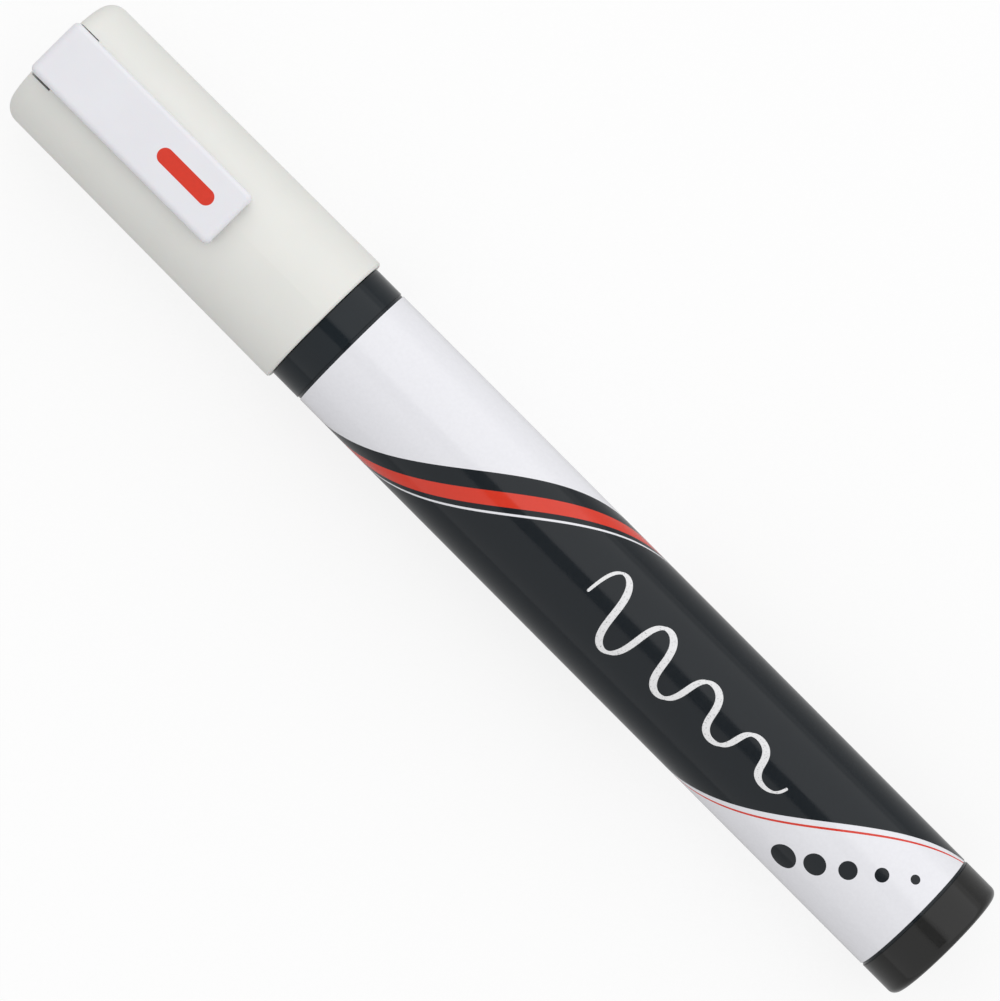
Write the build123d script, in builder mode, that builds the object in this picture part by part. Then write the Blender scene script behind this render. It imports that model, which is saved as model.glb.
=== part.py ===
from build123d import *
import os
from math import acos, atan2, cos, hypot, pi, sin, sqrt

# Liquid chalk marker with a pump valve, drawn as the pieces it comes apart into.
# It lies along X with the capped tip towards -X and the clip up, and rests on Z = 0.
# Sizes are in millimetres. Profiles are drawn as (x, radius) and turned about the marker's axis.

# Barrel and label
BARREL_DIAMETER = 15.8
BARREL_WALL = 1.2
LABEL_LENGTH = 85.8
LABEL_THICKNESS = 0.1
LABEL_MARGIN = 0.4
LABEL_SEAM = 0.4
GLUE_LINE = 0.02

# Tail plug
TAIL_BAND = 4.7
TAIL_EDGE_RADIUS = 0.9
TAIL_SPIGOT_LENGTH = 6.0
TAIL_WALL = 1.5
TAIL_RIM = 3.0
TAIL_RECESS_DEPTH = 0.5
SPIGOT_LEAD_IN = 0.4

# Front section: collar, neck, seal land and nose
COLLAR_LENGTH = 3.7
NECK_SHARE = 0.367
NECK_CHAMFER = 0.4
SNAP_BEAD_HEIGHT = 0.12
SNAP_BEAD_WIDTH = 1.6
SNAP_BEAD_SETBACK = 6.5
SEAL_LAND_STEP = 1.5
SEAL_LAND_SHARE = 0.2
NOSE_STEP = 0.5
NOSE_SHARE = 0.25
NOSE_WALL = 1.0
NOSE_CHAMFER = 0.4
GUIDE_SETBACK = 0.5
AIR_GROOVES = 4
AIR_GROOVE_WIDTH = 0.8
AIR_GROOVE_DEPTH = 0.45
SPIGOT_WALL = 1.1
SEAT_LEDGE = 0.8

# Nib
NIB_DIAMETER = 4.4
NIB_LENGTH = 30.0
NIB_POINT_LENGTH = 3.6
NIB_POINT_RADIUS = 1.1
NIB_BACK_CHAMFER = 0.5
NIB_CLEARANCE = 0.06

# Valve: seat, case, rod and spring, with radii as shares of the case's inside radius
ROD_STEM_LENGTH = 5.0
ROD_STEM_SHARE = 0.314
ROD_TAIL_SHARE = 0.242
ROD_FLANGE_SHARE = 0.725
ROD_FLANGE = 0.9
ROD_TAIL_OVERHANG = 0.3
ROD_END_CHAMFER = 0.3
ROD_CLEARANCE = 0.1
SEAT_THICKNESS = 1.6
SEAT_HOLE_SHARE = 0.507
VALVE_GAP = 0.05
CASE_GRIP = 9.0
CASE_LENGTH = 13.0
CASE_WALL = 1.3
CASE_BACK_WALL = 1.2
CASE_PORTS = 4
CASE_PORT_SHARE = 0.78
SPRING_COIL_SHARE = 0.592
SPRING_WIRE = 0.5
SPRING_WIRE_SIDES = 6
SPRING_TURNS = 6
SPRING_SPANS_PER_TURN = 2
SPRING_GAP = 0.05

# Cap shell
CAP_LENGTH = 40.9
CAP_OVERHANG = 0.7
CAP_TAPER = 0.2
CAP_WALL = 1.3
CAP_END_WALL = 1.4
CAP_EDGE_RADIUS = 2.0
CAP_MOUTH_CHAMFER = 0.2
CAP_LEAD_IN = 0.3
CAP_SEAT_GAP = 0.1
CAP_CLEARANCE = 0.2
CAP_SNAP_DEPTH = 0.15

# Inner cap, the cup that keeps the nib from drying
INNER_CAP_WALL = 0.9
INNER_CAP_FLANGE = 0.9
INNER_CAP_GAP = 0.3
INNER_CAP_END_GAP = 0.5
INNER_CAP_ROOM = 5.4
SEAL_GAP = 0.06
SEAL_LIP_HEIGHT = 0.25
SEAL_LIP_WIDTH = 1.2
SEAL_LIP_SETBACK = 1.6

# Clip
CLIP_LENGTH = 26.7
CLIP_WIDTH = 7.2
CLIP_THICKNESS = 1.2
CLIP_GAP = 0.75
CLIP_ROOT_RADIUS = 1.45
CLIP_ROOT_DEPTH = 0.9
CLIP_ROOT_WALL = 1.2
CLIP_SIDE_GAP = 0.2
CLIP_HINGE_GAP = 0.1
CLIP_BUMP_LENGTH = 3.2
CLIP_BUMP_SETBACK = 0.7
CLIP_BUMP_GAP = 0.2
CLIP_INNER_FILLET = 0.6
CLIP_END_ROUND = 1.1
CLIP_CORNER_RADIUS = 0.7
CLIP_EDGE_RADIUS = 0.6
CLIP_RIB_WIDTH = 0.9
CLIP_RIB_GAP = 0.35

# Mixing ball
BALL_DIAMETER = 7.0
BALL_GAP = 0.1

# Fits of the pressed pieces, and how far cuts run past what they cut
FIT_GAP = 0.02
CUT_OVERRUN = 1.0

# Radii
label_radius = BARREL_DIAMETER / 2
barrel_radius = label_radius - LABEL_THICKNESS - GLUE_LINE
barrel_bore = barrel_radius - BARREL_WALL
spigot_radius = barrel_bore - FIT_GAP
case_bore = spigot_radius - SPIGOT_WALL
case_radius = case_bore - FIT_GAP
case_inside = case_radius - CASE_WALL
chamber_radius = case_bore - SEAT_LEDGE
nib_radius = NIB_DIAMETER / 2
guide_radius = nib_radius + NIB_CLEARANCE
nose_tip_radius = guide_radius + NOSE_WALL
cap_mouth_radius = label_radius + CAP_OVERHANG
cap_end_radius = cap_mouth_radius - CAP_TAPER
mouth_bore = cap_mouth_radius - CAP_WALL
neck_radius = mouth_bore - CAP_CLEARANCE
seal_land_radius = neck_radius - SEAL_LAND_STEP
nose_base_radius = seal_land_radius - NOSE_STEP
seal_lip_radius = seal_land_radius + SEAL_GAP
inner_cap_inside = seal_lip_radius + SEAL_LIP_HEIGHT
inner_cap_radius = inner_cap_inside + INNER_CAP_WALL
upper_bore = inner_cap_radius + FIT_GAP
seat_hole = case_inside * SEAT_HOLE_SHARE
stem_radius = case_inside * ROD_STEM_SHARE
tail_rod_radius = case_inside * ROD_TAIL_SHARE
flange_radius = case_inside * ROD_FLANGE_SHARE
coil_radius = case_inside * SPRING_COIL_SHARE
seat_chamfer = flange_radius - seat_hole
wire_radius = SPRING_WIRE / 2
ball_radius = BALL_DIAMETER / 2
hinge_radius = cap_end_radius - CLIP_ROOT_DEPTH
trough_radius = CLIP_ROOT_RADIUS + CLIP_HINGE_GAP

# Stations along X, from the cap's closed end to the tail
barrel_length = LABEL_LENGTH + 2 * LABEL_MARGIN
overall_length = CAP_LENGTH + CAP_SEAT_GAP + COLLAR_LENGTH + barrel_length + TAIL_BAND
cap_end = -overall_length / 2
cap_mouth = cap_end + CAP_LENGTH
collar_front = cap_mouth + CAP_SEAT_GAP
barrel_front = collar_front + COLLAR_LENGTH
label_front = barrel_front + LABEL_MARGIN
label_back = label_front + LABEL_LENGTH
barrel_back = label_back + LABEL_MARGIN
tail_end = barrel_back + TAIL_BAND
tail_spigot_front = barrel_back - TAIL_SPIGOT_LENGTH

cap_end_inside = cap_end + CAP_END_WALL
hinge_x = cap_end + CLIP_ROOT_RADIUS
notch_back = hinge_x + trough_radius
boss_back = notch_back + CLIP_ROOT_WALL
inner_cap_end = boss_back + INNER_CAP_END_GAP
inner_cap_floor = inner_cap_end + INNER_CAP_WALL

nib_tip = inner_cap_floor + INNER_CAP_ROOM
nib_back = nib_tip + NIB_LENGTH
front_reach = collar_front - nib_tip
neck_front = collar_front - front_reach * NECK_SHARE
snap_bead = collar_front - SNAP_BEAD_SETBACK
seal_land_front = neck_front - front_reach * SEAL_LAND_SHARE
nose_front = seal_land_front - front_reach * NOSE_SHARE
guide_back = neck_front - GUIDE_SETBACK
inner_flange_back = neck_front - INNER_CAP_GAP
bore_step = inner_flange_back - INNER_CAP_FLANGE

rod_front = nib_back + VALVE_GAP
seat_front = rod_front + ROD_STEM_LENGTH
seat_back = seat_front + SEAT_THICKNESS
spigot_back = seat_back + CASE_GRIP
case_back = seat_back + CASE_LENGTH
case_floor = case_back - CASE_BACK_WALL
rod_seat = seat_back + VALVE_GAP * sqrt(2)
rod_flange_back = rod_seat + ROD_FLANGE
rod_back = case_back + ROD_TAIL_OVERHANG

# The marker's axis stands one cap radius above the surface it lies on
AXIS_HEIGHT = cap_mouth_radius
AXIS_PLANE = Plane(origin=(0, 0, AXIS_HEIGHT), x_dir=(1, 0, 0), z_dir=(0, -1, 0))
MARKER_AXIS = Axis((0, 0, AXIS_HEIGHT), (1, 0, 0))


def cross_plane(x):
    """Plane square to the marker's axis at station x, facing the tail."""
    return Plane(origin=(x, 0, AXIS_HEIGHT), x_dir=(0, 1, 0), z_dir=(1, 0, 0))


def cap_radius_at(x):
    """Outer radius of the tapered cap at station x."""
    taper_share = (x - cap_end) / CAP_LENGTH
    return cap_end_radius + (cap_mouth_radius - cap_end_radius) * taper_share


os.makedirs("parts", exist_ok=True)

# Barrel tube, the ink tank
with BuildPart() as barrel_tube:
    with BuildSketch(AXIS_PLANE):
        with BuildLine():
            Polyline(
                (barrel_front, barrel_bore),
                (barrel_back, barrel_bore),
                (barrel_back, barrel_radius),
                (barrel_front, barrel_radius),
                close=True,
            )
        make_face()
    revolve(axis=MARKER_AXIS)
barrel_tube.part.label = "barrel_tube"
export_step(barrel_tube.part, "parts/barrel_tube.step")

# Label sleeve, a film wrapped round the barrel with a butt seam underneath
with BuildPart() as label_sleeve:
    with BuildSketch(AXIS_PLANE):
        with BuildLine():
            Polyline(
                (label_front, barrel_radius + GLUE_LINE),
                (label_back, barrel_radius + GLUE_LINE),
                (label_back, label_radius),
                (label_front, label_radius),
                close=True,
            )
        make_face()
    revolve(axis=MARKER_AXIS)
    with BuildSketch(Plane.XY):
        with Locations(((label_front + label_back) / 2, 0)):
            Rectangle(LABEL_LENGTH + CUT_OVERRUN, LABEL_SEAM)
    extrude(amount=AXIS_HEIGHT, mode=Mode.SUBTRACT)
label_sleeve.part.label = "label_sleeve"
export_step(label_sleeve.part, "parts/label_sleeve.step")

# Tail plug, pressed into the back of the barrel and cored from inside
tail_core_radius = spigot_radius - TAIL_WALL
tail_recess_floor = tail_end - TAIL_RECESS_DEPTH
tail_core_floor = tail_recess_floor - TAIL_WALL
tail_recess_radius = label_radius - TAIL_RIM
with BuildPart() as tail_plug:
    with BuildSketch(AXIS_PLANE):
        with BuildLine():
            Polyline(
                (tail_core_floor, 0),
                (tail_recess_floor, 0),
                (tail_recess_floor, tail_recess_radius),
                (tail_end, tail_recess_radius),
                (tail_end, label_radius),
                (barrel_back, label_radius),
                (barrel_back, spigot_radius),
                (tail_spigot_front, spigot_radius),
                (tail_spigot_front, tail_core_radius),
                (tail_core_floor, tail_core_radius),
                close=True,
            )
        make_face()
    revolve(axis=MARKER_AXIS)
    tail_rim = tail_plug.edges().filter_by(GeomType.CIRCLE).group_by(Axis.X)[-1]
    fillet(tail_rim.sort_by(SortBy.RADIUS)[-1], TAIL_EDGE_RADIUS)
    tail_lead_in = tail_plug.edges().filter_by(GeomType.CIRCLE).group_by(Axis.X)[0]
    chamfer(tail_lead_in.sort_by(SortBy.RADIUS)[-1], SPIGOT_LEAD_IN)
tail_plug.part.label = "tail_plug"
export_step(tail_plug.part, "parts/tail_plug.step")

# Front section: spigot, collar, neck with snap bead, seal land and nose in one moulding
bead_half = SNAP_BEAD_WIDTH / 2
with BuildPart() as front_section:
    with BuildSketch(AXIS_PLANE):
        with BuildLine():
            Polyline(
                (snap_bead - bead_half, neck_radius),
                (snap_bead, neck_radius + SNAP_BEAD_HEIGHT),
                (snap_bead + bead_half, neck_radius),
                (collar_front, neck_radius),
                (collar_front, label_radius),
                (barrel_front, label_radius),
                (barrel_front, spigot_radius),
                (spigot_back, spigot_radius),
                (spigot_back, case_bore),
                (seat_front, case_bore),
                (seat_front, chamber_radius),
                (guide_back, chamber_radius),
                (guide_back, guide_radius),
                (nose_front, guide_radius),
                (nose_front, nose_tip_radius),
                (seal_land_front, nose_base_radius),
                (seal_land_front, seal_land_radius),
                (neck_front, seal_land_radius),
                (neck_front, neck_radius),
                close=True,
            )
        make_face()
    revolve(axis=MARKER_AXIS)
    front_rings = front_section.edges().filter_by(GeomType.CIRCLE)
    nose_rim = front_rings.group_by(Axis.X)[0].sort_by(SortBy.RADIUS)[-1]
    neck_rim = front_rings.filter_by_position(
        Axis.X, neck_front - NECK_CHAMFER, neck_front + NECK_CHAMFER
    ).sort_by(SortBy.RADIUS)[-1]
    chamfer(neck_rim, NECK_CHAMFER)
    chamfer(nose_rim, NOSE_CHAMFER)
    with BuildSketch(cross_plane(nose_front)):
        with PolarLocations(guide_radius, AIR_GROOVES, start_angle=180 / AIR_GROOVES):
            Rectangle(2 * AIR_GROOVE_DEPTH, AIR_GROOVE_WIDTH)
    extrude(amount=guide_back - nose_front, mode=Mode.SUBTRACT)
front_section.part.label = "front_section"
export_step(front_section.part, "parts/front_section.step")

# Nib, a fibre rod that slides in the nose, with a domed point that runs into its cone at a tangent
dome_middle = nib_tip + NIB_POINT_RADIUS
cone_run = NIB_POINT_LENGTH - NIB_POINT_RADIUS
cone_turn = atan2(nib_radius, cone_run) + acos(NIB_POINT_RADIUS / hypot(cone_run, nib_radius))


def dome_point(angle):
    """Point of the nib's round tip at an angle in radians from the marker's axis."""
    return (dome_middle + NIB_POINT_RADIUS * cos(angle), NIB_POINT_RADIUS * sin(angle))


with BuildPart() as nib:
    with BuildSketch(AXIS_PLANE):
        with BuildLine():
            ThreePointArc((nib_tip, 0), dome_point((cone_turn + pi) / 2), dome_point(cone_turn))
            Polyline(
                dome_point(cone_turn),
                (nib_tip + NIB_POINT_LENGTH, nib_radius),
                (nib_back - NIB_BACK_CHAMFER, nib_radius),
                (nib_back, nib_radius - NIB_BACK_CHAMFER),
                (nib_back, 0),
                (nib_tip, 0),
            )
        make_face()
    revolve(axis=MARKER_AXIS)
nib.part.label = "nib"
export_step(nib.part, "parts/nib.step")

# Valve seat, a soft ring with a conical face towards the tank
with BuildPart() as valve_seat:
    with BuildSketch(AXIS_PLANE):
        with BuildLine():
            Polyline(
                (seat_front, seat_hole),
                (seat_back - seat_chamfer, seat_hole),
                (seat_back, flange_radius),
                (seat_back, case_radius),
                (seat_front, case_radius),
                close=True,
            )
        make_face()
    revolve(axis=MARKER_AXIS)
valve_seat.part.label = "valve_seat"
export_step(valve_seat.part, "parts/valve_seat.step")

# Valve case, the cup behind the seat, with ink ports in its back wall
guide_hole = tail_rod_radius + ROD_CLEARANCE
with BuildPart() as valve_case:
    with BuildSketch(AXIS_PLANE):
        with BuildLine():
            Polyline(
                (seat_back, case_inside),
                (case_floor, case_inside),
                (case_floor, guide_hole),
                (case_back, guide_hole),
                (case_back, case_radius),
                (seat_back, case_radius),
                close=True,
            )
        make_face()
    revolve(axis=MARKER_AXIS)
    port_radius = (guide_hole + case_inside) / 2
    with BuildSketch(cross_plane(case_floor)):
        with PolarLocations(port_radius, CASE_PORTS):
            Circle((case_inside - guide_hole) * CASE_PORT_SHARE / 2)
    extrude(amount=CASE_BACK_WALL, mode=Mode.SUBTRACT)
valve_case.part.label = "valve_case"
export_step(valve_case.part, "parts/valve_case.step")

# Valve rod: stem against the nib, cone on the seat, flange under the spring and tail guide
with BuildPart() as valve_rod:
    with BuildSketch(AXIS_PLANE):
        with BuildLine():
            Polyline(
                (rod_front, 0),
                (rod_front, stem_radius),
                (rod_seat - (flange_radius - stem_radius), stem_radius),
                (rod_seat, flange_radius),
                (rod_flange_back, flange_radius),
                (rod_flange_back, tail_rod_radius),
                (rod_back, tail_rod_radius),
                (rod_back, 0),
                close=True,
            )
        make_face()
    revolve(axis=MARKER_AXIS)
    rod_rings = valve_rod.edges().filter_by(GeomType.CIRCLE).sort_by(Axis.X)
    chamfer([rod_rings[0], rod_rings[-1]], ROD_END_CHAMFER)
valve_rod.part.label = "valve_rod"
export_step(valve_rod.part, "parts/valve_rod.step")

# Valve spring, one open coil between the rod's flange and the floor of the case
spring_front = rod_flange_back + SPRING_GAP + wire_radius
spring_back = case_floor - SPRING_GAP - wire_radius
spring_rise = (spring_back - spring_front) / (2 * pi * SPRING_TURNS)


def coil_point(angle):
    """Point of the spring's centre line at an angle in radians from its front end."""
    return Vector(
        spring_front + spring_rise * angle,
        coil_radius * cos(angle),
        AXIS_HEIGHT + coil_radius * sin(angle),
    )


def coil_tangent(angle):
    """Unit direction of the spring's centre line at an angle in radians."""
    return Vector(spring_rise, -coil_radius * sin(angle), coil_radius * cos(angle)).normalized()


def biarc_joint(start, start_way, end, end_way):
    """Point and direction where two tangent arcs between two ends meet."""
    span = end - start
    ways = start_way + end_way
    bend = 2 * (1 - start_way.dot(end_way))
    reach = (sqrt(span.dot(ways) ** 2 + bend * span.dot(span)) - span.dot(ways)) / bend
    from_start = start + start_way * reach
    from_end = end - end_way * reach
    return (from_start + from_end) / 2, (from_end - from_start).normalized()


spring_spans = SPRING_TURNS * SPRING_SPANS_PER_TURN
span_angle = 2 * pi / SPRING_SPANS_PER_TURN
with BuildPart() as valve_spring:
    with BuildLine() as coil_line:
        for span_number in range(spring_spans):
            near = span_number * span_angle
            far = near + span_angle
            joint, joint_way = biarc_joint(
                coil_point(near), coil_tangent(near), coil_point(far), coil_tangent(far)
            )
            TangentArc(coil_point(near), joint, tangent=coil_tangent(near))
            TangentArc(joint, coil_point(far), tangent=joint_way)
    with BuildSketch(Plane(origin=coil_point(0), z_dir=coil_tangent(0))):
        RegularPolygon(wire_radius, SPRING_WIRE_SIDES)
    sweep(path=coil_line.wire())
valve_spring.part.label = "valve_spring"
export_step(valve_spring.part, "parts/valve_spring.step")

# Inner cap, a cup whose lip closes on the seal land, flanged against the step in the cap's bore
lip_middle = inner_flange_back - SEAL_LIP_SETBACK
lip_half = SEAL_LIP_WIDTH / 2
with BuildPart() as inner_cap:
    with BuildSketch(AXIS_PLANE):
        with BuildLine():
            Polyline(
                (lip_middle + lip_half, inner_cap_inside),
                (lip_middle, seal_lip_radius),
                (lip_middle - lip_half, inner_cap_inside),
                (inner_cap_floor, inner_cap_inside),
                (inner_cap_floor, 0),
                (inner_cap_end, 0),
                (inner_cap_end, inner_cap_radius),
                (bore_step, inner_cap_radius),
                (bore_step, mouth_bore - FIT_GAP),
                (inner_flange_back, mouth_bore - FIT_GAP),
                (inner_flange_back, inner_cap_inside),
                close=True,
            )
        make_face()
    revolve(axis=MARKER_AXIS)
inner_cap.part.label = "inner_cap"
export_step(inner_cap.part, "parts/inner_cap.step")

# Cap shell: tapered outside, bored in two steps, snap groove, and a notch for the clip's root
notch_width = CLIP_WIDTH + 2 * CLIP_SIDE_GAP
boss_bottom = hinge_radius - trough_radius - CLIP_ROOT_WALL
with BuildPart() as cap_shell:
    with BuildSketch(AXIS_PLANE):
        with BuildLine():
            Polyline(
                (snap_bead - bead_half, mouth_bore),
                (snap_bead, mouth_bore + CAP_SNAP_DEPTH),
                (snap_bead + bead_half, mouth_bore),
                (cap_mouth - CAP_LEAD_IN, mouth_bore),
                (cap_mouth, mouth_bore + CAP_LEAD_IN),
                (cap_mouth, cap_mouth_radius),
                (cap_end, cap_end_radius),
                (cap_end, 0),
                (cap_end_inside, 0),
                (cap_end_inside, upper_bore),
                (bore_step, upper_bore),
                (bore_step, mouth_bore),
                close=True,
            )
        make_face()
    revolve(axis=MARKER_AXIS)
    cap_rings = cap_shell.edges().filter_by(GeomType.CIRCLE)
    mouth_rim = cap_rings.group_by(Axis.X)[-1].sort_by(SortBy.RADIUS)[-1]
    chamfer(mouth_rim, CAP_MOUTH_CHAMFER)
    end_rim = cap_shell.edges().filter_by(GeomType.CIRCLE).group_by(Axis.X)[0]
    fillet(end_rim, CAP_EDGE_RADIUS)
    with BuildSketch(cross_plane(cap_end_inside)):
        with Locations((0, (boss_bottom + hinge_radius) / 2)):
            Rectangle(notch_width + 2 * CLIP_ROOT_WALL, hinge_radius - boss_bottom)
        Circle(upper_bore + CUT_OVERRUN / 2, mode=Mode.INTERSECT)
    extrude(amount=boss_back - cap_end_inside)
    with BuildSketch(AXIS_PLANE):
        with Locations((hinge_x, hinge_radius)):
            Circle(trough_radius)
        with BuildLine():
            Polyline(
                (notch_back, hinge_radius),
                (notch_back, hinge_radius + cap_end_radius),
                (cap_end - CUT_OVERRUN, hinge_radius + cap_end_radius),
                (cap_end - CUT_OVERRUN, hinge_radius),
                close=True,
            )
        make_face()
    extrude(amount=notch_width / 2, both=True, mode=Mode.SUBTRACT)
cap_shell.part.label = "cap_shell"
export_step(cap_shell.part, "parts/cap_shell.step")

# Clip: flat arm with a rib down each side, rounded root in the cap's notch, and a bump under its free end
clip_free = cap_end + CLIP_LENGTH
clip_under = cap_radius_at(clip_free) + CLIP_GAP
clip_top = clip_under + CLIP_THICKNESS
root_back = hinge_x + CLIP_ROOT_RADIUS
bump_back = clip_free - CLIP_BUMP_SETBACK
bump_front = bump_back - CLIP_BUMP_LENGTH
bump_bottom = clip_under - CLIP_GAP + CLIP_BUMP_GAP
rib_radius = cap_radius_at(clip_free) + CLIP_RIB_GAP
with BuildPart() as cap_clip:
    with BuildSketch(AXIS_PLANE):
        with BuildLine():
            Polyline(
                (bump_back, clip_under),
                (clip_free, clip_under),
                (clip_free, clip_top),
                (cap_end, clip_top),
                (cap_end, hinge_radius),
            )
            ThreePointArc(
                (cap_end, hinge_radius),
                (hinge_x, hinge_radius - CLIP_ROOT_RADIUS),
                (root_back, hinge_radius),
            )
            Polyline((root_back, hinge_radius), (root_back, clip_under), (bump_front, clip_under))
            ThreePointArc(
                (bump_front, clip_under),
                ((bump_front + bump_back) / 2, bump_bottom),
                (bump_back, clip_under),
            )
        make_face()
    extrude(amount=CLIP_WIDTH / 2, both=True)
    cross_edges = cap_clip.edges().filter_by(Axis.Y)
    inner_corner = cross_edges.filter_by_position(
        Axis.X, root_back - CLIP_HINGE_GAP, root_back + CLIP_HINGE_GAP
    ).sort_by(Axis.Z)[-1]
    fillet(inner_corner, CLIP_INNER_FILLET)
    end_edge = cap_clip.edges().filter_by(Axis.Y).group_by(Axis.Z)[-1].sort_by(Axis.X)[0]
    fillet(end_edge, CLIP_END_ROUND)
    with BuildSketch(cross_plane(root_back)):
        with Locations((0, (hinge_radius + clip_under) / 2)):
            Rectangle(CLIP_WIDTH, clip_under - hinge_radius)
            Rectangle(CLIP_WIDTH - 2 * CLIP_RIB_WIDTH, clip_under - hinge_radius, mode=Mode.SUBTRACT)
        Circle(rib_radius, mode=Mode.SUBTRACT)
    extrude(amount=clip_free - root_back)
    free_edges = cap_clip.edges().filter_by(Axis.Z).group_by(Axis.X)[-1].sort_by(Axis.Y)
    fillet([free_edges[0], free_edges[-1]], CLIP_CORNER_RADIUS)
    top_face = cap_clip.faces().filter_by(Axis.Z).sort_by(Axis.Z)[-1]
    fillet(top_face.edges(), CLIP_EDGE_RADIUS)
cap_clip.part.label = "cap_clip"
export_step(cap_clip.part, "parts/cap_clip.step")

# Mixing ball, loose in the tank, lying on the wall against the tail plug's spigot
ball_x = tail_spigot_front - BALL_GAP - ball_radius
ball_z = AXIS_HEIGHT - barrel_bore + BALL_GAP + ball_radius
with BuildPart() as mixing_ball:
    with Locations((ball_x, 0, ball_z)):
        Sphere(ball_radius)
mixing_ball.part.label = "mixing_ball"
export_step(mixing_ball.part, "parts/mixing_ball.step")

# Places that the joints and mounts use, and the spring's own clearance
COIL_SAMPLES_PER_TURN = 36
coil_samples = range(SPRING_TURNS * COIL_SAMPLES_PER_TURN)
coil_points = [coil_point(2 * pi * sample / COIL_SAMPLES_PER_TURN) for sample in coil_samples]
coil_gap = min(
    (far - near).length - SPRING_WIRE
    for index, near in enumerate(coil_points)
    for far in coil_points[index + COIL_SAMPLES_PER_TURN // 2:]
)
print(f"overall length {overall_length:.2f}, axis height {AXIS_HEIGHT:.2f}")
print(f"spring least gap to itself {coil_gap:.2f}, length {spring_back - spring_front + SPRING_WIRE:.2f}")
print(f"clip hinge x {hinge_x:.3f}, z {AXIS_HEIGHT + hinge_radius:.3f}, clip top {clip_top:.2f}")
print(f"tail end {tail_end:.3f}, label {label_front:.3f} to {label_back:.3f}, cap mouth {cap_mouth:.3f}")
print(f"inner cap room x {inner_cap_floor:.3f} to {nib_tip:.3f}, radius {inner_cap_inside:.3f}")
print(f"ball travel {ball_x - ball_radius - rod_back - BALL_GAP:.3f}")
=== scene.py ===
"""Looks, studio and camera for a liquid chalk marker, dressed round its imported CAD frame.

Lengths are in metres and in the frame's own axes: +X runs to the tail, +Y to the lit side and +Z up
through the pocket clip.
"""

import logging
import math
from collections.abc import Sequence
from dataclasses import dataclass, field
from enum import Enum
from functools import cached_property

import bpy
from mathutils import Matrix, Vector
from mathutils.geometry import delaunay_2d_cdt


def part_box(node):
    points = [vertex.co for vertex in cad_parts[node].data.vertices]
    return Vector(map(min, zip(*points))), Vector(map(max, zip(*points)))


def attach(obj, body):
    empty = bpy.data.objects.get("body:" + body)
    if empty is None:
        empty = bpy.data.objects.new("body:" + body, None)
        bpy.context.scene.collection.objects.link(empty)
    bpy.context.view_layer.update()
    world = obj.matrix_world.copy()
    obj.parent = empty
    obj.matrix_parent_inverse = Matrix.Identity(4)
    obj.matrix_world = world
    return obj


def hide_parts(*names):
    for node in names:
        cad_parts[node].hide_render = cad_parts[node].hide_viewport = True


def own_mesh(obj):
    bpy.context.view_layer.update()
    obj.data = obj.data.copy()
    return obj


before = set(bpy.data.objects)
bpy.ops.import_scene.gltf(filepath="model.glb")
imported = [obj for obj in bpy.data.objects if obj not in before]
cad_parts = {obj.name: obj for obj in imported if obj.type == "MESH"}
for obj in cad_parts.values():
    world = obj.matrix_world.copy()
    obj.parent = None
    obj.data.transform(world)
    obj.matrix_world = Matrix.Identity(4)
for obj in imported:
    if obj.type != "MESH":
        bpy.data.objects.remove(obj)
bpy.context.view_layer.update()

Colour = tuple[float, float, float]
Point = tuple[float, float]
Triple = tuple[float, float, float]
Socket = bpy.types.NodeSocket
Values = dict[str | int, object]

LOG = logging.getLogger("marker")
BARREL_BODY = "barrel"
MM = 0.001
FULL_TURN = 360.0
QUARTER_TURN = FULL_TURN / 4
ALONG = Vector((1.0, 0.0, 0.0))
WHITE = (1.0, 1.0, 1.0, 1.0)
PRINT_RED: Colour = (0.69, 0.028, 0.006)


class Slot(Enum):
    """Material slot names for the label film and the spring steel."""

    LABEL = "label_film"
    SPRING = "spring_steel"


class Print(Enum):
    """The label's printed areas, in the order of its material slots."""

    FILM = 0
    CHARCOAL = 1
    RED = 2
    CHALK = 3
    BACK = 4


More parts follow.
